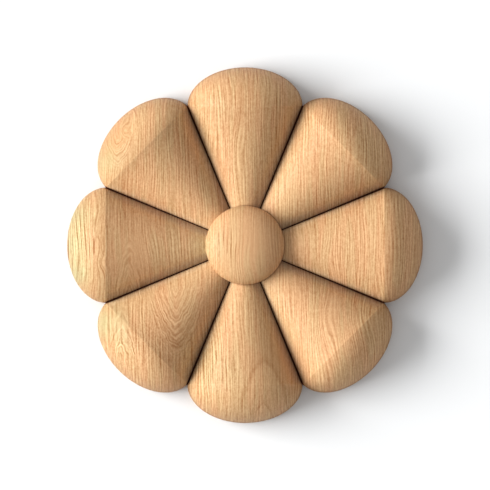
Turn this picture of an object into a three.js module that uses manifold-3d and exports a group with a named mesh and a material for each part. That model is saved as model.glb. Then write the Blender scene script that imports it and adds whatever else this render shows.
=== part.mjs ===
// Eight-petalled oak rosette, carved from one board to be fixed flat on a wall, door or cabinet.
// Every length is in millimetres. The carving is drawn face up, with x to the right, y up the face
// and z out of the back, and is then turned to hang on a wall: +Z up, the face towards -Y and the
// centre of the flat back at the origin.

import * as THREE from "three";
import { mergeVertices } from "three/addons/utils/BufferGeometryUtils.js";
import Module from "manifold-3d";

// Driving dimensions of the petals.
const petalCount = 8;
const creaseReach = 46.9; // from the axis to the crease across each petal
const endDepth = 13.1; // from the crease to the petal's outer tip
const bandHeight = 1.0; // square edge left standing at the back
const archHeight = 19; // from the top of that edge to the top of the crease
const archShare = 0.975; // share of the arch's full width that stands between two grooves
const hubHeight = 10.4; // from the back to the point on the axis where the grooves meet

// Driving dimensions of the button in the middle.
const buttonRadius = 13.3;
const buttonRimHeight = 13.2; // from the back to where the dome starts
const domeHeight = 8.4; // from there to the top of the dome

// Fineness of the facets.
const stepsAcross = 28; // across one petal
const stepsOverEnd = 8; // from the crease down to the edge
const stepsRound = 72; // round the button
const stepsUpDome = 10;
const samePoint = 1e-4; // points closer than this are taken as one

const petalAngle = (2 * Math.PI) / petalCount;
const petalHalfWidth = creaseReach * Math.tan(petalAngle / 2);
const cuspReach = creaseReach / Math.cos(petalAngle / 2);

// Height of the arch over the crease, at a share of the petal's half width from its middle.
function archLift(share) {
  return archHeight * Math.sqrt(1 - (archShare * share) ** 2);
}

// Height of the groove between two petals, which falls from the hub to the cusp.
function grooveHeight(reach) {
  const cuspHeight = bandHeight + archLift(1);
  return hubHeight + ((cuspHeight - hubHeight) * reach) / cuspReach;
}

// Points across a petal at even turns from one side to the other: the share of the half width, the
// height over the crease and the depth of the rounded end beyond it.
function pointsAcross() {
  const points = [];
  for (let i = 0; i <= stepsAcross; i += 1) {
    const turn = Math.PI * (i / stepsAcross - 0.5);
    const share = Math.sin(turn);
    const isSide = i === 0 || i === stepsAcross;
    points.push({ share, lift: archLift(share), depth: isSide ? 0 : endDepth * Math.cos(turn) });
  }
  return points;
}

// Rows of points over one petal that points along +x: the hub, the crease, the rounded end down to
// the band, the foot of the band and the middle of the back. The arch over the crease is part of an
// ellipse, and the end beyond it falls from the arch to a half-elliptic outline.
function petalRows() {
  const across = pointsAcross();
  const rows = [across.map(() => new THREE.Vector3(0, 0, hubHeight))];
  for (let i = 0; i <= stepsOverEnd; i += 1) {
    const turn = ((Math.PI / 2) * i) / stepsOverEnd;
    const fall = i === stepsOverEnd ? 0 : Math.cos(turn);
    rows.push(
      across.map(
        ({ share, lift, depth }) =>
          new THREE.Vector3(
            creaseReach + depth * Math.sin(turn),
            petalHalfWidth * share,
            bandHeight + lift * fall,
          ),
      ),
    );
  }
  rows.push(rows.at(-1).map((point) => point.clone().setZ(0)));
  rows.push(across.map(() => new THREE.Vector3(0, 0, 0)));
  return rows;
}

// A triangle is left out where two of its corners are the same point.
function isTriangle(corners) {
  return corners.every((corner, i) => corner.distanceTo(corners[(i + 1) % 3]) > samePoint);
}

// All petals as one closed surface. Neighbours share the groove between them and the cusp.
function petalRingGeometry() {
  const rows = petalRows();
  const positions = [];
  for (let petal = 0; petal < petalCount; petal += 1) {
    const turned = rows.map((row) =>
      row.map((point) =>
        point.clone().applyAxisAngle(new THREE.Vector3(0, 0, 1), petal * petalAngle),
      ),
    );
    for (let i = 0; i + 1 < turned.length; i += 1) {
      for (let j = 0; j < stepsAcross; j += 1) {
        const [near, far] = [turned[i], turned[i + 1]];
        const halves = [
          [near[j], far[j], far[j + 1]],
          [near[j], far[j + 1], near[j + 1]],
        ];
        for (const corners of halves.filter(isTriangle)) {
          positions.push(...corners.flatMap((corner) => corner.toArray()));
        }
      }
    }
  }
  const geometry = new THREE.BufferGeometry();
  geometry.setAttribute("position", new THREE.Float32BufferAttribute(positions, 3));
  return geometry;
}

// The button, with its foot sunk halfway into the wood under the grooves.
function buttonGeometry() {
  const foot = grooveHeight(buttonRadius) / 2;
  const profile = [new THREE.Vector2(0, foot), new THREE.Vector2(buttonRadius, foot)];
  for (let i = 0; i <= stepsUpDome; i += 1) {
    const turn = ((Math.PI / 2) * i) / stepsUpDome;
    const radius = i === stepsUpDome ? 0 : buttonRadius * Math.cos(turn);
    profile.push(new THREE.Vector2(radius, buttonRimHeight + domeHeight * Math.sin(turn)));
  }
  return new THREE.LatheGeometry(profile, stepsRound).rotateX(Math.PI / 2);
}

const wasm = await Module();
wasm.setup();

// A closed geometry as a solid that can be joined to others.
function solidFrom(geometry) {
  const bare = geometry.clone();
  bare.deleteAttribute("normal");
  bare.deleteAttribute("uv");
  const merged = mergeVertices(bare, samePoint);
  const corners = Array.from(merged.index.array);
  const kept = [];
  for (let i = 0; i < corners.length; i += 3) {
    const [a, b, c] = corners.slice(i, i + 3);
    if (a !== b && b !== c && c !== a) kept.push(a, b, c);
  }
  return new wasm.Manifold(
    new wasm.Mesh({
      numProp: 3,
      vertProperties: merged.attributes.position.array,
      triVerts: new Uint32Array(kept),
    }),
  );
}

// A joined solid as a geometry again.
function geometryFrom(solid) {
  const { vertProperties, triVerts } = solid.getMesh();
  const geometry = new THREE.BufferGeometry();
  geometry.setAttribute("position", new THREE.Float32BufferAttribute(vertProperties, 3));
  geometry.setIndex(Array.from(triVerts));
  geometry.computeVertexNormals();
  return geometry;
}

const oak = new THREE.MeshStandardMaterial({ color: 0xd3a678, roughness: 0.55, metalness: 0 });

const carving = solidFrom(petalRingGeometry()).add(solidFrom(buttonGeometry()));
const rosette = new THREE.Mesh(geometryFrom(carving), oak);
rosette.name = "rosette";
rosette.rotation.x = Math.PI / 2;

const part = new THREE.Group();
part.add(rosette);

export default part;
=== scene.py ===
import math

import bpy
from mathutils import Matrix, Vector


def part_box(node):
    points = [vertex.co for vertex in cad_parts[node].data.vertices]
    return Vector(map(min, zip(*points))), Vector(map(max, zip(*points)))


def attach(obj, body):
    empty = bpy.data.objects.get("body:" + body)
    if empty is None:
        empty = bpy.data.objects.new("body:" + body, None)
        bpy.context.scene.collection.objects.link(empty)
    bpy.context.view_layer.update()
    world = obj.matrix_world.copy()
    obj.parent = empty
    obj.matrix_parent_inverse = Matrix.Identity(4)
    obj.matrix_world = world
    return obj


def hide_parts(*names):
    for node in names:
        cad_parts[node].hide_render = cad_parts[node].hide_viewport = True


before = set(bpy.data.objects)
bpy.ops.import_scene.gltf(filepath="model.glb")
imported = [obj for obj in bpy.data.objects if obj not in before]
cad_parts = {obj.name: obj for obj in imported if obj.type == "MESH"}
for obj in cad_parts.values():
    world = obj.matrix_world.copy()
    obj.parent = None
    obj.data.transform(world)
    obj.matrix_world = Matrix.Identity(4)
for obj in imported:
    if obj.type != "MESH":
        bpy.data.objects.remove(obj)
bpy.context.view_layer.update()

# The solid's box gives how far the petals reach from the axis and how thick the carving is.
CARVED_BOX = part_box("rosette")
REACH = CARVED_BOX[1].x
THICKNESS = CARVED_BOX[1].y - CARVED_BOX[0].y

bl_info = {
    "name": "Carved oak rosette",
    "version": (1, 0, 0),
    "blender": (4, 5, 0),
    "location": "3D View > Sidebar > Rosette",
    "description": "Carves an eight-petalled oak rosette and lights it on a white wall",
    "category": "Add Mesh",
}

MM = 0.001
WHITE = (1.0, 1.0, 1.0, 1.0)

PETALS = 8
PETAL_ANGLE = 2 * math.pi / PETALS
CREASE_REACH = 46.9 * MM
DOME_HEIGHT = 8.4 * MM

# Shares of the outline's reach at which the flat back has its rows of points.
BACK_ROWS = (1.0, 0.98, 0.9, 0.7, 0.4, 0.15)

# Faces that meet at more than this angle meet in a sharp edge.
SMOOTH_ANGLE = math.radians(32)

# How far the wall reaches from the axis, and how far its front stands before the rosette's back.
WALL_REACH = 2.0
WALL_FRONT = 0.1 * MM

# The even light changes to the one behind the wall over these shares of its way that lead backwards.
BEHIND_FADE = (0.0, 0.1)

# The photo's width, how far the petals reach in it and how far below its middle the axis is.
FRAME_WIDTH_PX = 490
REACH_PX = 177.8
DROP_PX = 0.2


class RosetteSizes(bpy.types.PropertyGroup):
    """The carving's sizes."""

    crease_reach: bpy.props.FloatProperty(
        name="Crease reach",
        description="From the axis to the crease across each petal",
        default=CREASE_REACH,
        subtype="DISTANCE",
    )
    end_depth: bpy.props.FloatProperty(
        name="End depth",
        description="From the crease to the petal's outer tip",
        default=REACH - CREASE_REACH,
        subtype="DISTANCE",
    )
    band_height: bpy.props.FloatProperty(
        name="Band height",
        description="Square edge left standing at the back",
        default=1.0 * MM,
        subtype="DISTANCE",
    )
    arch_height: bpy.props.FloatProperty(
        name="Arch height",
        description="From the top of that edge to the top of the crease",
        default=19.0 * MM,
        subtype="DISTANCE",
    )
    arch_share: bpy.props.FloatProperty(
        name="Arch share",
        description="Share of the arch's full width that stands between two grooves",
        default=0.975,
        min=0.0,
        max=1.0,
        subtype="FACTOR",
    )
    hub_height: bpy.props.FloatProperty(
        name="Hub height",
        description="From the back to the point on the axis where the grooves meet",
        default=10.4 * MM,
        subtype="DISTANCE",
    )
    button_radius: bpy.props.FloatProperty(
        name="Button radius",
        description="Radius of the round button in the middle",
        default=13.3 * MM,
        subtype="DISTANCE",
    )
    button_rim_height: bpy.props.FloatProperty(
        name="Button rim height",
        description="From the back to where the button's dome starts",
        default=THICKNESS - DOME_HEIGHT,
        subtype="DISTANCE",
    )
    dome_height: bpy.props.FloatProperty(
        name="Dome height",
        description="From the button's rim to the top of its dome",
        default=DOME_HEIGHT,
        subtype="DISTANCE",
    )
    steps_across: bpy.props.IntProperty(
        name="Steps across",
        description="Faces across one petal",
        default=48,
    )
    steps_along: bpy.props.IntProperty(
        name="Steps along",
        description="Faces from the button to the crease",
        default=36,
    )
    steps_over_end: bpy.props.IntProperty(
        name="Steps over the end",
        description="Faces from the crease down to the petal's edge",
        default=28,
    )
    steps_up_dome: bpy.props.IntProperty(
        name="Steps up the dome",
        description="Faces from the button's rim to its top",
        default=28,
    )


class OakLooks(bpy.types.PropertyGroup):
    """The wood's colours and figure."""

    light_colour: bpy.props.FloatVectorProperty(
        name="Light wood",
        description="Colour of the palest lines in the grain",
        default=(0.617, 0.411, 0.217),
        subtype="COLOR",
        size=3,
    )
    dark_colour: bpy.props.FloatVectorProperty(
        name="Dark wood",
        description="Colour of the darkest lines in the grain",
        default=(0.287, 0.129, 0.043),
        subtype="COLOR",
        size=3,
    )
    warm_tint: bpy.props.FloatVectorProperty(
        name="Warm tint",
        description="What the redder bands multiply the colour by",
        default=(1.03, 0.95, 0.95),
        subtype="COLOR",
        size=3,
        soft_max=2.0,
    )
    # Painted highlight hue: yellower where the light falls brightest on the left.
    highlight_yellow_tint: bpy.props.FloatVectorProperty(
        name="Yellow tint",
        description="What the yellow places multiply the colour by",
        default=(0.7, 1.05, 1.08),
        subtype="COLOR",
        size=3,
        soft_max=2.0,
    )
    # Painted shade: the dark colour at the bottom of the grooves stands in for the shade that falls
    # there.
    groove_colour: bpy.props.FloatVectorProperty(
        name="Groove",
        description="Colour of the wood at the bottom of the grooves",
        default=(0.07, 0.006, 0.0),
        subtype="COLOR",
        size=3,
    )
    # Painted shade: darker and bluer on the grooves' sides that face away from the light on the left.
    shaded_side_tint: bpy.props.FloatVectorProperty(
        name="Grimy tint",
        description="What the grimy sides of the grooves multiply the colour by",
        default=(0.74, 0.83, 1.03),
        subtype="COLOR",
        size=3,
        soft_max=2.0,
    )
    # Painted highlight: paler on the grooves' sides that face the light on the left.
    lit_side_tint: bpy.props.FloatVectorProperty(
        name="Rubbed tint",
        description="What the rubbed sides of the grooves multiply the colour by",
        default=(1.16, 1.27, 1.43),
        subtype="COLOR",
        size=3,
        soft_max=2.0,
    )
    ring_spacing: bpy.props.FloatProperty(
        name="Ring spacing",
        description="Width of one year's growth",
        default=1.55 * MM,
        subtype="DISTANCE",
    )
    roughness: bpy.props.FloatProperty(
        name="Roughness",
        description="Roughness of the sanded wood",
        default=0.5,
        min=0.0,
        max=1.0,
        subtype="FACTOR",
    )


class StageLooks(bpy.types.PropertyGroup):
    """The wall, the light and the camera."""

    key_elevation: bpy.props.FloatProperty(
        name="Light elevation",
        description="Angle of the main light out of the wall",
        default=math.radians(28.7),
        subtype="ANGLE",
    )
    key_turn: bpy.props.FloatProperty(
        name="Light turn",
        description="Angle of the main light above the left side",
        default=math.radians(4.2),
        subtype="ANGLE",
    )
    key_distance: bpy.props.FloatProperty(
        name="Light distance",
        description="From the rosette to the main light",
        default=8.0,
        subtype="DISTANCE",
    )
    key_depth: bpy.props.FloatProperty(
        name="Light depth",
        description="Size of the main light out of the wall",
        default=4.23,
        subtype="DISTANCE",
    )
    key_length: bpy.props.FloatProperty(
        name="Light length",
        description="Size of the main light along the wall",
        default=6.85,
        subtype="DISTANCE",
    )
    key_power: bpy.props.FloatProperty(
        name="Light power",
        description="Power of the main light",
        default=1397.0,
        subtype="POWER",
    )
    ambient: bpy.props.FloatProperty(
        name="Ambient light",
        description="Strength of the even light in front of the wall",
        default=0.62,
    )
    ambient_slope: bpy.props.FloatProperty(
        name="Ambient slope",
        description="Share by which the even light is weaker from the right and stronger from the left",
        default=0.17,
        min=0.0,
        max=1.0,
        subtype="FACTOR",
    )
    ambient_behind: bpy.props.FloatProperty(
        name="Ambient light behind",
        description="Strength of the even light behind the wall, which only the flat back receives",
        default=1.0,
    )
    wall_colour: bpy.props.FloatVectorProperty(
        name="Wall",
        description="Colour of the wall's paint",
        default=(0.69, 0.699, 0.706),
        subtype="COLOR",
        size=3,
    )
    camera_distance: bpy.props.FloatProperty(
        name="Camera distance",
        description="From the wall to the camera",
        default=5.0,
        subtype="DISTANCE",
    )


def carving_rows(sizes):
    """Rows of points round one petal, from the dome's top to the middle of the back.

    Each row has one point for each step across a petal that points along +X, in the drawing's own
    frame: X and Y on the face and Z out of the back. The arch over the crease is part of an
    ellipse, the petal narrows from it to the hub in straight lines, and its end falls from the arch
    to a half-elliptic outline.
    """
    half_width = sizes.crease_reach * math.tan(PETAL_ANGLE / 2)
    turns = [math.pi * (j / sizes.steps_across - 0.5) for j in range(sizes.steps_across)]
    shares = [math.sin(turn) for turn in turns]
    lifts = [sizes.arch_height * math.sqrt(1 - (sizes.arch_share * share) ** 2) for share in shares]
    depths = [0.0, *(sizes.end_depth * math.cos(turn) for turn in turns[1:])]
    crease = [
        Vector((sizes.crease_reach, half_width * share, sizes.band_height + lift))
        for share, lift in zip(shares, lifts)
    ]
    rows = {"dome": [], "petal": [], "end": []}
    outward = [Vector((corner.x, corner.y, 0)).normalized() for corner in crease]
    for i in range(1, sizes.steps_up_dome + 1):
        turn = math.pi / 2 * i / sizes.steps_up_dome
        radius = sizes.button_radius * math.sin(turn)
        height = sizes.button_rim_height + sizes.dome_height * math.cos(turn)
        rows["dome"].append([Vector((way.x * radius, way.y * radius, height)) for way in outward])
    hub = Vector((0, 0, sizes.hub_height))
    feet = [hub.lerp(corner, sizes.button_radius / corner.xy.length) for corner in crease]
    for i in range(sizes.steps_along + 1):
        along = i / sizes.steps_along
        rows["petal"].append([foot.lerp(corner, along) for foot, corner in zip(feet, crease)])
    for i in range(1, sizes.steps_over_end + 1):
        turn = math.pi / 2 * i / sizes.steps_over_end
        out = math.sin(turn)
        fall = math.cos(turn) if i < sizes.steps_over_end else 0.0
        rows["end"].append(
            [
                Vector((corner.x + depth * out, corner.y, sizes.band_height + lift * fall))
                for corner, depth, lift in zip(crease, depths, lifts)
            ]
        )
    edge = [Vector((point.x, point.y, 0)) for point in rows["end"][-1]]
    rows["back"] = [[point * share for point in edge] for share in BACK_ROWS]
    return rows


def carve(name, sizes):
    """The rosette's mesh, one closed surface with its face towards -Y and its back at Y = 0."""
    rows = carving_rows(sizes)
    order = rows["dome"] + rows["petal"] + rows["end"] + rows["back"]
    columns = PETALS * sizes.steps_across
    upright = Matrix.Rotation(math.pi / 2, 4, "X")
    top = Vector((0, 0, sizes.button_rim_height + sizes.dome_height))
    points = [upright @ top]
    for row in order:
        for petal in range(PETALS):
            turn = upright @ Matrix.Rotation(PETAL_ANGLE * petal, 4, "Z")
            points.extend(turn @ point for point in row)
    points.append(Vector((0, 0, 0)))
    last = len(points) - 1

    def at(row, column):
        return 1 + row * columns + column % columns

    faces = [(0, at(0, c), at(0, c + 1)) for c in range(columns)]
    for r in range(len(order) - 1):
        faces += [(at(r, c), at(r + 1, c), at(r + 1, c + 1), at(r, c + 1)) for c in range(columns)]
    faces += [(at(len(order) - 1, c), last, at(len(order) - 1, c + 1)) for c in range(columns)]
    mesh = bpy.data.meshes.new(name)
    mesh.from_pydata(points, [], faces)
    mesh.validate()
    mesh.shade_smooth()
    mesh.set_sharp_from_angle(angle=SMOOTH_ANGLE)
    mark_sharp(mesh, rows, columns)
    piece = bpy.data.objects.new(name, mesh)
    bpy.context.scene.collection.objects.link(piece)
    return piece


def mark_sharp(mesh, rows, columns):
    """Marks the edges of the button's rim and foot, the creases, the grooves and the band as sharp."""
    rim = len(rows["dome"]) - 1
    crease = rim + len(rows["petal"])
    edge = crease + len(rows["end"])
    last = len(mesh.vertices) - 1
    sharp_rows = {rim, rim + 1, crease, edge, edge + 1}
    sharp_columns = set(range(0, columns, columns // PETALS))
    sharp = mesh.attributes.get("sharp_edge") or mesh.attributes.new("sharp_edge", "BOOLEAN", "EDGE")
    for number, side in enumerate(mesh.edges):
        a, b = sorted(side.vertices)
        if a == 0 or b == last:
            continue
        row_a, column_a = divmod(a - 1, columns)
        row_b, column_b = divmod(b - 1, columns)
        along_row = row_a == row_b and row_a in sharp_rows
        along_groove = column_a == column_b and column_a in sharp_columns and rim < row_a < edge
        if along_row or along_groove:
            sharp.data[number].value = True


class Socket:
    """A node's output that Python expressions can calculate with."""

    def __init__(self, shader, output):
        self.shader = shader
        self.output = output

    def _calculate(self, operation, left, right):
        sides = (left, right)
        linked = [side.output.type for side in sides if isinstance(side, Socket)]
        if "VECTOR" in linked or any(isinstance(side, tuple) for side in sides):
            return self.shader.vector(operation, left, right)
        return self.shader.math(operation, left, right)

    def __add__(self, other):
        return self._calculate("ADD", self, other)

    __radd__ = __add__

    def __sub__(self, other):
        return self._calculate("SUBTRACT", self, other)

    def __rsub__(self, other):
        return self._calculate("SUBTRACT", other, self)

    def __mul__(self, other):
        return self._calculate("MULTIPLY", self, other)

    __rmul__ = __mul__

    def __truediv__(self, other):
        return self._calculate("DIVIDE", self, other)

    def __rtruediv__(self, other):
        return self._calculate("DIVIDE", other, self)

    def __pow__(self, power):
        return self._calculate("POWER", self, power)

    def __rpow__(self, base):
        return self._calculate("POWER", base, self)


class Shader:
    """The nodes of a material or a world under construction."""

    def __init__(self, owner):
        owner.use_nodes = True
        self.owner = owner
        self.tree = owner.node_tree
        self.tree.nodes.clear()

    def node(self, kind, settings=None, sockets=None):
        """A new node: its settings first, then the values or links of its sockets."""
        made = self.tree.nodes.new(kind)
        for name, value in (settings or {}).items():
            setattr(made, name, value)
        for name, value in (sockets or {}).items():
            if isinstance(value, Socket):
                self.tree.links.new(value.output, made.inputs[name])
            else:
                made.inputs[name].default_value = value
        return made

    def out(self, made, name=0):
        """One of a node's outputs, the first where no other is named."""
        return Socket(self, made.outputs[name])

    def math(self, operation, *values):
        """A calculation on numbers."""
        made = self.node("ShaderNodeMath", {"operation": operation}, dict(enumerate(values)))
        return self.out(made)

    def vector(self, operation, left, right):
        """A calculation on places or directions, where a number stands for three of it."""
        sides = {}
        for number, side in enumerate((left, right)):
            sides[number] = (side,) * 3 if isinstance(side, (int, float)) else side
        made = self.node("ShaderNodeVectorMath", {"operation": operation}, sides)
        return self.out(made)

    def parts(self, place):
        """The X, Y and Z of a place."""
        made = self.node("ShaderNodeSeparateXYZ", None, {0: place})
        return [self.out(made, number) for number in range(3)]

    def joined(self, x, y, z):
        """The place with this X, Y and Z."""
        return self.out(self.node("ShaderNodeCombineXYZ", None, {0: x, 1: y, 2: z}))

    def noise(self, place, cell, detail):
        """Cloudy noise between about 0 and 1, in cells of this size."""
        made = self.node(
            "ShaderNodeTexNoise",
            {"noise_dimensions": "3D"},
            {"Vector": place / cell, "Scale": 1.0, "Detail": detail, "Roughness": 0.5},
        )
        return self.out(made, "Fac")

    def swing(self, place, layer):
        """Noise up and down from 0, for a layer's cell size, detail and full swing."""
        cell, detail, full = layer
        return (self.noise(place, cell, detail) - 0.5) * full

    def step(self, value, low, high):
        """0 below low, 1 above high and a smooth change between them."""
        made = self.node(
            "ShaderNodeMapRange",
            {"interpolation_type": "SMOOTHSTEP"},
            {"Value": value, "From Min": low, "From Max": high},
        )
        return self.out(made)

    def mix(self, share, first, second):
        """A colour that goes from first to second."""
        made = self.node("ShaderNodeMix", {"data_type": "RGBA"}, {0: share, 6: first, 7: second})
        return self.out(made, 2)

    def multiply(self, first, second):
        """Two colours multiplied."""
        settings = {"data_type": "RGBA", "blend_type": "MULTIPLY"}
        return self.out(self.node("ShaderNodeMix", settings, {0: 1.0, 6: first, 7: second}), 2)

    def finish(self, kind, surface):
        """Links the surface to the output node and returns the finished material or world."""
        self.node(kind, None, {"Surface": surface})
        return self.owner


# Places where the grain swerves round a hard spot: how far right of and above the axis, how wide and
# high the swerve is, and how far it pushes the grain to the right, all in millimetres.
SWERVES = (
    (-41.0, 38.6, 1.8, 2.8, 2.6),
    (-48.5, -6.0, 1.9, 2.8, 1.6),
    (-49.0, 12.0, 1.8, 6.0, -1.2),
    (-33.0, 6.0, 4.0, 9.0, 1.5),
    (-12.0, 30.0, 3.0, 12.0, 1.4),
    (-3.0, 28.0, 2.4, 12.0, 1.8),
    (26.9, -24.0, 3.0, 9.0, 2.4),
    (27.2, -4.4, 2.5, 6.0, 1.6),
    (0.5, -5.0, 3.0, 6.0, 1.2),
    (39.0, -24.0, 5.0, 9.0, 2.6),
    (33.0, -46.0, 5.0, 10.0, -2.2),
)

# Places where the growth rings come out at the surface as nested arches: how far right of and above
# the axis their foot is, half their width and how far their point is above it, in millimetres.
# Those with their point below their foot have a minus sign.
ARCHES = (
    (-23.2, -14.0, 11.5, -27.0),
    (-39.0, -18.0, 6.5, 25.0),
    (-41.6, -37.5, 5.5, 18.0),
    (-42.8, 36.0, 6.2, -11.0),
)
ARCH_ROUNDNESS = 1.4

# Paler wood that comes out as plain arches, two at the foot of the lowest petal and one on the left
# petal: how far right of and above the axis each stands, half its width and its height, in
# millimetres.
PALE_ARCHES = (
    (6.5, -55.0, 7.5, 16.5),
    (6.0, -59.5, 3.6, 6.5),
    (-49.4, -4.6, 2.0, 7.5),
)

# Places where the grain's contrast differs: how far right of and above the axis, how far that
# reaches in millimetres, and the share added to the contrast.
CONTRASTS = (
    (-31.0, -30.0, 10.0, 0.45),
    (-22.0, -22.0, 7.0, -0.2),
    (-40.0, -38.0, 7.0, 0.2),
    (-38.0, -8.0, 7.0, -0.3),
    (-57.0, 0.0, 6.0, 0.35),
    (-49.5, 0.0, 5.0, -0.3),
    (-46.0, 33.0, 7.0, -0.4),
    (-47.0, -26.0, 6.0, -0.3),
    (9.0, -38.0, 10.0, -0.5),
    (-8.0, -42.0, 8.0, 0.2),
    (2.5, 0.0, 11.0, -0.75),
    (38.0, 37.0, 9.0, 0.25),
    (-39.0, -1.0, 6.0, -0.4),
    (-41.5, -26.0, 5.0, -0.45),
)

# Places where the growth rings stand out as darker lines, as for the contrast.
RING_PLACES = (
    (-56.0, 0.0, 9.0, 0.85),
    (-44.0, -28.0, 7.0, 0.4),
    (-6.0, 0.0, 5.0, 0.75),
    (-8.0, -40.0, 9.0, 0.45),
    (-8.0, 44.0, 9.0, 0.15),
)

# Places where the colour is yellower, a painted highlight hue where the light falls brightest on
# the left, where the wood is redder, and where it is paler or, with a minus sign, browner, as for
# the contrast.
HIGHLIGHT_YELLOW_PLACES = (
    (-58.0, 0.0, 5.5, 0.9),
    (-56.5, 10.0, 5.5, 0.85),
    (-56.5, -10.0, 5.5, 0.85),
    (-47.5, -26.0, 6.0, 0.8),
    (-41.0, -34.0, 5.0, 0.25),
    (-47.5, 28.0, 6.0, 0.65),
    (-11.5, 0.0, 5.0, 0.4),
    (-10.0, 46.0, 8.0, 0.2),
    (-9.0, -42.0, 9.0, 0.3),
)
RED_PLACES = (
    (-41.0, 23.0, 4.5, 1.0),
    (-45.0, 9.0, 5.0, 0.8),
    (-44.0, -8.0, 4.5, 0.8),
    (-32.0, -37.0, 6.0, 0.5),
    (8.0, 1.0, 6.0, 0.8),
    (-50.0, 0.0, 4.0, 0.4),
    (54.0, 0.0, 9.0, 0.6),
    (2.0, 43.0, 8.0, 0.5),
    (2.0, -41.0, 8.0, 0.5),
    (-26.0, -26.0, 9.0, 0.6),
)
PALE_PLACES = (
    (2.0, 0.0, 11.0, 0.09),
    (-6.0, 0.0, 7.0, 0.035),
    (-42.0, 33.0, 10.0, -0.12),
    (30.0, 0.0, 12.0, -0.035),
    (2.0, 40.0, 12.0, -0.03),
    (-58.5, 0.0, 7.5, 0.165),
    (-50.0, 0.0, 4.0, -0.045),
    (-47.0, -26.0, 7.0, 0.055),
    (-6.0, -41.0, 9.0, 0.075),
    (-27.0, -41.0, 7.0, 0.03),
    (-27.0, 0.0, 13.0, 0.03),
    (10.0, -37.0, 7.0, -0.03),
)

# Layers of noise: the size of their cells across the grain, out of the face and along the grain in
# millimetres, how much finer noise is in them, and their full swing. The first six push the grain to
# the side, in millimetres, and the rest make it paler and darker.
DRIFT = ((11.0, 40.0, 38.0), 1.0, 3.5)
RIPPLE = ((3.0, 30.0, 9.0), 1.0, 0.35)
ARCH_DRIFT = ((4.0, 30.0, 9.0), 1.0, 2.2)
ARCH_RIPPLE = ((2.2, 20.0, 1.8), 0.0, 0.7)
PALE_ARCH_DRIFT = ((4.0, 30.0, 7.0), 1.0, 2.4)
RING_DRIFT = ((2.0, 30.0, 30.0), 1.0, 1.6)
DASHES = ((0.55, 4.0, 1.5), 0.0, 1.0)
STRANDS = ((1.5, 14.0, 22.0), 0.0, 0.1)
BANDS = ((5.0, 30.0, 70.0), 1.0, 0.2)
GRIT = ((0.4, 2.0, 0.6), 0.0, 0.4)

# How far the grain leans to the side on its way up, as a share of the way.
LEAN = 0.02

# The fine lines are the difference of two noises in cells of this size that stand this far apart
# across the grain, in millimetres.
LINE_CELL = (0.5, 9.0, 11.0)
LINE_SHIFT = (0.28, 0.0, 0.0)

# What the lines and dashes count for in the wood's brightness.
LINE_TONE = 0.9
DASH_TONE = 0.36

# Arches fade into the straight grain over these sizes, and over these heights at their foot. Each
# takes its figure from a part of the noise this many millimetres on from the last one's.
ARCH_FADE = (0.7, 1.0)
ARCH_FOOT = (-0.1, 0.1)
ARCH_STRIDE = 7.0

# A plain arch of paler wood: the sizes over which its dark rim starts and ends and its inside ends,
# the heights over which its foot starts, how much paler its inside is and how much darker its rim.
PALE_RIM_START = (0.88, 1.0)
PALE_RIM_END = (1.0, 1.16)
PALE_INSIDE_END = (0.9, 1.0)
PALE_FOOT = (-0.2, 0.3)
PALE_LIFT = 0.06
PALE_RIM_DROP = 0.17

# A dark ring line starts and ends over these shares of a year's growth, and is broken where noise in
# these cells falls through these levels. Away from the places above it is this dark.
RING_START = (0.0, 0.12)
RING_END = (0.2, 0.5)
RING_GAP_CELL = (0.9, 12.0, 6.0)
RING_GAPS = (0.3, 0.6)
RING_TONE = 0.03

# Redder bands are where noise in these cells rises through these levels.
RED_CELL = (3.0, 30.0, 24.0)
RED_BANDS = (0.4, 0.62)

# The brightness of plain wood between the dark and the light colour, how much the painted highlight
# along a crease adds to it, how much of the dark colour is painted as shade at the petals' tips, and
# how much painted shade lies in the grooves, round the button's foot and along the petals' rim.
PLAIN_TONE = 0.55
CREASE_HIGHLIGHT_LIFT = 0.11
TIP_SHADE = 0.2
GROOVE_SHADE = 0.98
FOOT_SHADE = 0.3
RIM_SHADE = 0.25

# How deep the fine lines and dashes are cut, and how strongly the sanded wood shines.
RELIEF_DEPTH = 0.02 * MM
SHINE = 0.1

# The painted light and shade fade out over these places, in millimetres out of the wall, so that the
# back has none.
FACE_FADE = (-0.8, -0.2)

# A groove's line of painted shade: its half width at the button and what it gains on its way out,
# in millimetres, the shares of that width over which it fades, and the places past the button's side
# over which it starts.
GROOVE_WIDTH = 0.3
GROOVE_WIDENING = 0.008
GROOVE_FADE = (0.15, 1.0)
GROOVE_START = (-0.3, 0.3)

# Beside a groove, in millimetres: how far from it the painted shade on the side that faces away
# from the light and the painted highlight on the side that faces it fade out, how far from the axis
# both end, and the width over which one changes to the other on a petal's middle line.
SHADED_SIDE_FADE = (0.6, 3.4)
LIT_SIDE_FADE = (0.4, 2.4)
SIDES_END = (48.5, 51.5)
SIDES_CHANGE = (-0.5, 0.5)

# The line of painted shade round the button's foot, where its shadow falls: the places past the
# button's side over which it starts and ends, and the places right of the axis over which it fades
# out to the lit left, in millimetres.
FOOT_START = (-0.15, 0.0)
FOOT_END = (0.1, 0.5)
FOOT_RIGHT = (-13.0, 4.0)

# A petal's end: the places past the crease over which it starts, the shares of its size over which
# painted shade darkens its tip and its rim, and the places right of the axis over which the painted
# shade on the rim fades out to the lit left, in millimetres.
END_START = (0.0, 1.0)
TIP_SHADE_FADE = (0.62, 0.97)
RIM_SHADE_FADE = (0.95, 0.99)
RIM_SHADE_RIGHT = (-62.0, -10.0)

# A painted highlight along each crease: how far within the crease its middle is and over which
# distances from that it fades, in millimetres, how strong it is at the left, how much less at the
# right, and the places right of the axis over which that changes.
CREASE_INSET = 0.15
CREASE_FADE = (0.05, 0.4)
CREASE_HIGHLIGHT_AT_LEFT = 0.6
CREASE_HIGHLIGHT_LESS_AT_RIGHT = 0.4
CREASE_RIGHT = (-12.0, 24.0)


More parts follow.
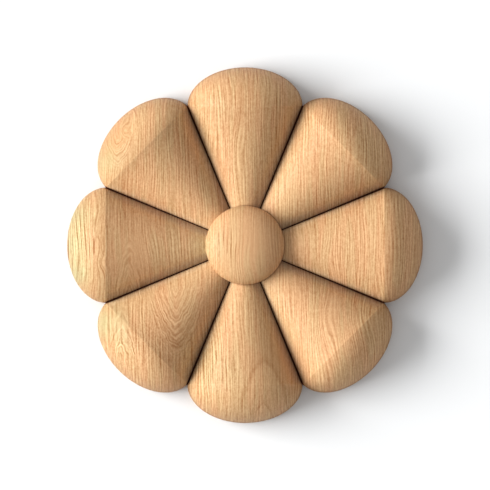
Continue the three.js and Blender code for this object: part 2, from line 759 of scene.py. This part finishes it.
def closeness(wood, x, z, right, up, width, height):
    """1 at a place right of and above the axis, and less all round it, down to 0."""
    from_side = (x - right) / width
    from_end = (z - up) / height
    return wood.math("EXPONENT", (from_side * from_side + from_end * from_end) * -1)


def total_near(wood, x, z, places, start):
    """The start value and the share added by each place close by, as in CONTRASTS."""
    total = start
    for right, up, reach, extra in places:
        total = closeness(wood, x, z, right, up, reach, reach) * extra + total
    return total


def straight_grain(wood, place):
    """Place in the wood with the grain straightened: its X counts growth from left to right."""
    x, y, z = wood.parts(place)
    across = x + wood.swing(place, DRIFT) + wood.swing(place, RIPPLE) + z * LEAN
    for right, up, width, height, push in SWERVES:
        across = across + closeness(wood, x, z, right, up, width, height) * push
    return wood.joined(across, y, z)


def arch_size(wood, x, z, arch):
    """How far a place is out from an arch's foot, 1 on the arch itself, and how far up it is."""
    right, up, width, height = arch
    from_side = wood.math("ABSOLUTE", (x - right) / width) ** ARCH_ROUNDNESS
    upwards = (z - up) / height
    outwards = from_side + wood.math("MAXIMUM", upwards, 0.0) ** ARCH_ROUNDNESS
    return outwards ** (1 / ARCH_ROUNDNESS), upwards


def arched_grain(wood, place):
    """Place in the wood with its X counted outwards from the foot of an arch, and the arches' share."""
    x, y, z = wood.parts(place)
    x = x + wood.swing(place, ARCH_DRIFT)
    across = wood.swing(place, ARCH_RIPPLE)
    share = 0.0
    for number, arch in enumerate(ARCHES):
        width = arch[2]
        outwards, upwards = arch_size(wood, x, z, arch)
        is_within = wood.math("LESS_THAN", outwards, 1.0)
        is_above = wood.math("GREATER_THAN", upwards, ARCH_FOOT[0])
        across = across + is_within * is_above * (outwards * width + number * ARCH_STRIDE)
        share = (1 - wood.step(outwards, *ARCH_FADE)) * wood.step(upwards, *ARCH_FOOT) + share
    return wood.joined(across, y, z), share


def figure(wood, grain):
    """Brightness of the grain's lines and pores, up and down from 0, and their relief."""
    lines = wood.noise(grain, LINE_CELL, 0.0) - wood.noise(grain + LINE_SHIFT, LINE_CELL, 0.0)
    dashes = wood.swing(grain, DASHES)
    strands = wood.swing(grain, STRANDS)
    tone = lines * LINE_TONE + dashes * DASH_TONE + strands + wood.swing(grain, BANDS)
    return tone, lines + dashes


def growth_rings(wood, grain, spacing):
    """Dark lines between the years of growth, broken up along the grain."""
    across = wood.parts(grain)[0] + wood.swing(grain, RING_DRIFT)
    growth = wood.math("FRACT", across / spacing)
    line = (1 - wood.step(growth, *RING_END)) * wood.step(growth, *RING_START)
    return line * wood.step(wood.noise(grain, RING_GAP_CELL, 1.0), *RING_GAPS)


def slow_changes(wood, place):
    """The grain's contrast, how dark its rings are, how pale and red the wood is, and how much painted
    highlight hue makes it yellower.
    """
    x, depth, z = wood.parts(place)
    contrast = total_near(wood, x, z, CONTRASTS, 1.0)
    rings = total_near(wood, x, z, RING_PLACES, RING_TONE)
    yellow = total_near(wood, x, z, HIGHLIGHT_YELLOW_PLACES, 0.0) * face_share(wood, depth)
    red = total_near(wood, x, z, RED_PLACES, 0.0)
    lift = total_near(wood, x, z, PALE_PLACES, 0.0)
    x = x + wood.swing(place, PALE_ARCH_DRIFT)
    for arch in PALE_ARCHES:
        outwards, upwards = arch_size(wood, x, z, arch)
        rim = wood.step(outwards, *PALE_RIM_START) * (1 - wood.step(outwards, *PALE_RIM_END))
        inside = 1 - wood.step(outwards, *PALE_INSIDE_END)
        paler = inside * PALE_LIFT - rim * PALE_RIM_DROP
        lift = paler * wood.step(upwards, *PALE_FOOT) + lift
    return contrast, rings, lift, yellow, red


def face_share(wood, depth):
    """1 over the whole carved face and 0 on the flat back."""
    return 1 - wood.step(depth, *FACE_FADE)


def painted_light_shares(wood, place, sizes):
    """Shares of painted light and shade by name, over the carved face alone.

    The turn is the share of a petal's angle that a place is past the last groove, anticlockwise, and
    off_middle is its angle from the petal's middle line.
    """
    x, depth, z = wood.parts(place)
    reach = wood.math("SQRT", x * x + z * z)
    turn = wood.math("FRACT", wood.math("ARCTAN2", z, x) / PETAL_ANGLE + 0.5)
    off_middle = wood.math("ABSOLUTE", turn - 0.5) * PETAL_ANGLE
    past_button = reach - sizes.button_radius / MM
    # Painted shade round the button's foot, where its shadow falls; it fades out towards the lit left.
    foot = wood.step(past_button, *FOOT_START) * (1 - wood.step(past_button, *FOOT_END))
    shares = {
        "foot": foot * wood.step(x, *FOOT_RIGHT),
        **groove_wear(wood, z, reach, turn, off_middle, past_button),
        **end_painted_light(wood, x, reach, off_middle, sizes),
    }
    face = face_share(wood, depth)
    return {name: share * face for name, share in shares.items()}


def groove_wear(wood, z, reach, turn, off_middle, past_button):
    """Shares of the painted shade in the grooves, and of the painted shade and painted highlight beside
    them.

    The shaded side, which gets painted shade, faces away from the light on the left: it is
    anticlockwise of its groove in the upper half, and clockwise in the lower half; the other side gets
    a painted highlight.
    """
    aside = reach * wood.math("SINE", PETAL_ANGLE / 2 - off_middle)
    width = past_button * GROOVE_WIDENING + GROOVE_WIDTH
    started = wood.step(past_button, *GROOVE_START)
    line = (1 - wood.step(aside / width, *GROOVE_FADE)) * started
    along = started * (1 - wood.step(reach, *SIDES_END))
    # 1 on the side of a groove that faces away from the light, 0 on the side that faces it.
    shaded = wood.step((0.5 - turn) * z, *SIDES_CHANGE)
    return {
        "groove": line,
        "shaded": shaded * (1 - wood.step(aside, *SHADED_SIDE_FADE)) * along,
        "lit": (1 - shaded) * (1 - wood.step(aside, *LIT_SIDE_FADE)) * along,
    }


def end_painted_light(wood, x, reach, off_middle, sizes):
    """Shares of the painted shade at the tips of the petals' ends and along their rim, and of the
    painted highlight along the creases.
    """
    crease_reach = sizes.crease_reach / MM
    past_crease = reach * wood.math("COSINE", off_middle) - crease_reach
    end = wood.math("MAXIMUM", past_crease, 0.0) / (sizes.end_depth / MM)
    side = reach * wood.math("SINE", off_middle) / (crease_reach * math.tan(PETAL_ANGLE / 2))
    outwards = wood.math("SQRT", end * end + side * side)
    beyond = wood.step(past_crease, *END_START)
    crease = 1 - wood.step(wood.math("ABSOLUTE", past_crease + CREASE_INSET), *CREASE_FADE)
    return {
        "tip": wood.step(outwards, *TIP_SHADE_FADE) * beyond,
        "rim": wood.step(outwards, *RIM_SHADE_FADE) * beyond * wood.step(x, *RIM_SHADE_RIGHT),
        "crease": crease * (CREASE_HIGHLIGHT_AT_LEFT - wood.step(x, *CREASE_RIGHT) * CREASE_HIGHLIGHT_LESS_AT_RIGHT),
    }


def oak(looks, sizes):
    """Oak with its grain upright, whose figure goes through the block, and painted light and shade on
    its face.
    """
    wood = Shader(bpy.data.materials.new("oak"))
    place = wood.out(wood.node("ShaderNodeTexCoord"), "Object") / (MM, MM, MM)
    grain = straight_grain(wood, place)
    arches, in_arch = arched_grain(wood, place)
    straight, straight_relief = figure(wood, grain)
    arched, arched_relief = figure(wood, arches)
    contrast, rings, lift, yellow, red = slow_changes(wood, place)
    painted_light = painted_light_shares(wood, place, sizes)

    tone = straight + (arched - straight) * in_arch + wood.swing(place, GRIT)
    # The crease term is a painted highlight along the creases.
    tone = tone * contrast + PLAIN_TONE + lift + painted_light["crease"] * CREASE_HIGHLIGHT_LIFT
    tone = tone - rings * growth_rings(wood, grain, looks.ring_spacing / MM)
    dark = (*looks.dark_colour, 1.0)
    colour = wood.mix(tone, dark, (*looks.light_colour, 1.0))
    tints = (
        (wood.step(wood.noise(grain, RED_CELL, 1.0), *RED_BANDS) + red, looks.warm_tint),
        # Painted highlight hue: yellower where the light falls brightest on the left.
        (yellow, looks.highlight_yellow_tint),
        # Painted shade and painted highlight on the groove sides that face away from and towards the
        # light.
        (painted_light["shaded"], looks.shaded_side_tint),
        (painted_light["lit"], looks.lit_side_tint),
    )
    for share, tint in tints:
        colour = wood.multiply(colour, wood.mix(share, WHITE, (*tint, 1.0)))
    # Painted shade: the petals' tips darken towards the dark colour near the outline.
    colour = wood.mix(painted_light["tip"] * TIP_SHADE, colour, dark)
    # Painted shade: the grooves' bottoms, the button's foot and the petals' rim are drawn towards the
    # dark groove colour, and are rougher there too.
    painted_shade = wood.math("MAXIMUM", painted_light["foot"] * FOOT_SHADE, painted_light["rim"] * RIM_SHADE)
    painted_shade = wood.math("MAXIMUM", painted_light["groove"] * GROOVE_SHADE, painted_shade)
    colour = wood.mix(painted_shade, colour, (*looks.groove_colour, 1.0))

    height = straight_relief + (arched_relief - straight_relief) * in_arch
    sockets = {"Strength": 1.0, "Distance": RELIEF_DEPTH, "Height": height}
    relief = wood.out(wood.node("ShaderNodeBump", None, sockets))
    surface = wood.node(
        "ShaderNodeBsdfPrincipled",
        None,
        {
            "Base Color": colour,
            "Roughness": looks.roughness + painted_shade * (1 - looks.roughness),
            "Specular IOR Level": SHINE,
            "Normal": relief,
        },
    )
    return wood.finish("ShaderNodeOutputMaterial", wood.out(surface))


class ROSETTE_OT_carve(bpy.types.Operator):
    """Carve the rosette and give it its oak"""

    bl_idname = "rosette.carve"
    bl_label = "Carve the rosette"

    def execute(self, context):
        sizes = context.scene.rosette_sizes
        piece = carve("carved_rosette", sizes)
        piece.data.materials.append(oak(context.scene.rosette_oak, sizes))
        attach(piece, "root")
        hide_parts("rosette")
        return {"FINISHED"}


def point_at(thing, target):
    """Turn the camera towards a point."""
    thing.rotation_euler = (target - thing.location).to_track_quat("-Z", "Y").to_euler()


class ROSETTE_OT_stage(bpy.types.Operator):
    """Put the rosette on a white wall, with its light and camera"""

    bl_idname = "rosette.stage"
    bl_label = "Set the stage"

    def execute(self, context):
        scene = context.scene
        looks = scene.rosette_stage
        self.wall(scene, looks)
        self.daylight(scene, looks)
        self.key_light(scene, looks)
        self.camera(scene, looks)
        scene.view_settings.view_transform = "Standard"
        return {"FINISHED"}

    def wall(self, scene, looks):
        """A white wall that stands a hair in front of the rosette's back, inside its square edge.

        Its far side lets everything through, so the flat back can be seen from behind.
        """
        sides = ((-1, -1), (1, -1), (1, 1), (-1, 1))
        corners = [(x * WALL_REACH, -WALL_FRONT, z * WALL_REACH) for x, z in sides]
        mesh = bpy.data.meshes.new("wall")
        mesh.from_pydata(corners, [], [(0, 1, 2, 3)])
        paint = Shader(bpy.data.materials.new("white wall"))
        side = paint.out(paint.node("ShaderNodeNewGeometry"), "Backfacing")
        tone = (*looks.wall_colour, 1.0)
        white = paint.out(paint.node("ShaderNodeBsdfDiffuse", None, {"Color": tone}))
        clear = paint.out(paint.node("ShaderNodeBsdfTransparent"))
        both = paint.node("ShaderNodeMixShader", None, {0: side, 1: white, 2: clear})
        mesh.materials.append(paint.finish("ShaderNodeOutputMaterial", paint.out(both)))
        wall = bpy.data.objects.new("wall", mesh)
        scene.collection.objects.link(wall)

    def daylight(self, scene, looks):
        """Even white light, a little weaker from the right, with a plain white background."""
        room = Shader(bpy.data.worlds.new("white room"))
        way = room.out(room.node("ShaderNodeTexCoord"), "Generated")
        rightwards, backwards, _ = room.parts(way)
        before = looks.ambient * (1 - rightwards * looks.ambient_slope)
        behind = room.step(backwards, *BEHIND_FADE)
        strength = before + behind * (looks.ambient_behind - before)
        light = self.glow(room, strength)
        seen = self.glow(room, 1.0)
        ray = room.out(room.node("ShaderNodeLightPath"), "Is Camera Ray")
        both = room.node("ShaderNodeMixShader", None, {0: ray, 1: light, 2: seen})
        scene.world = room.finish("ShaderNodeOutputWorld", room.out(both))

    def glow(self, room, strength):
        """White light of this strength from all round."""
        sockets = {"Color": WHITE, "Strength": strength}
        return room.out(room.node("ShaderNodeBackground", None, sockets))

    def key_light(self, scene, looks):
        """A large soft light on the left, low over the wall, with its long side upright."""
        lamp = bpy.data.lights.new("window", "AREA")
        lamp.shape = "RECTANGLE"
        lamp.size = looks.key_length
        lamp.size_y = looks.key_depth
        lamp.energy = looks.key_power
        light = bpy.data.objects.new("window", lamp)
        out = math.sin(looks.key_elevation)
        side = math.cos(looks.key_elevation)
        towards = Vector((-side * math.cos(looks.key_turn), -out, side * math.sin(looks.key_turn)))
        light.location = towards * looks.key_distance
        length_way = Vector((math.sin(looks.key_turn), 0, math.cos(looks.key_turn)))
        ways = Matrix((length_way, towards.cross(length_way), towards))
        light.rotation_euler = ways.transposed().to_euler()
        scene.collection.objects.link(light)

    def camera(self, scene, looks):
        """A camera straight in front that sees the rosette as large as the photo has it."""
        data = bpy.data.cameras.new("camera")
        reach_on_sensor = REACH_PX / FRAME_WIDTH_PX * data.sensor_width
        data.lens = reach_on_sensor * looks.camera_distance / REACH
        data.shift_y = DROP_PX / FRAME_WIDTH_PX
        camera = bpy.data.objects.new("camera", data)
        camera.location = (0, -looks.camera_distance, 0)
        point_at(camera, Vector((0, 0, 0)))
        scene.collection.objects.link(camera)
        scene.camera = camera


class ROSETTE_PT_panel(bpy.types.Panel):
    """The rosette's sizes and looks, and its makers"""

    bl_label = "Rosette"
    bl_idname = "ROSETTE_PT_panel"
    bl_space_type = "VIEW_3D"
    bl_region_type = "UI"
    bl_category = "Rosette"

    def draw(self, context):
        scene = context.scene
        for group in (scene.rosette_sizes, scene.rosette_oak, scene.rosette_stage):
            box = self.layout.box()
            for name in group.__annotations__:
                box.prop(group, name)
        for maker in OPERATORS:
            self.layout.operator(maker.bl_idname)


OPERATORS = (ROSETTE_OT_carve, ROSETTE_OT_stage)
CLASSES = (RosetteSizes, OakLooks, StageLooks, *OPERATORS, ROSETTE_PT_panel)


def register():
    for cls in CLASSES:
        bpy.utils.register_class(cls)
    bpy.types.Scene.rosette_sizes = bpy.props.PointerProperty(type=RosetteSizes)
    bpy.types.Scene.rosette_oak = bpy.props.PointerProperty(type=OakLooks)
    bpy.types.Scene.rosette_stage = bpy.props.PointerProperty(type=StageLooks)


def unregister():
    del bpy.types.Scene.rosette_stage
    del bpy.types.Scene.rosette_oak
    del bpy.types.Scene.rosette_sizes
    for cls in reversed(CLASSES):
        bpy.utils.unregister_class(cls)


def main():
    register()
    bpy.ops.rosette.carve()
    bpy.ops.rosette.stage()


if __name__ == "__main__":
    main()
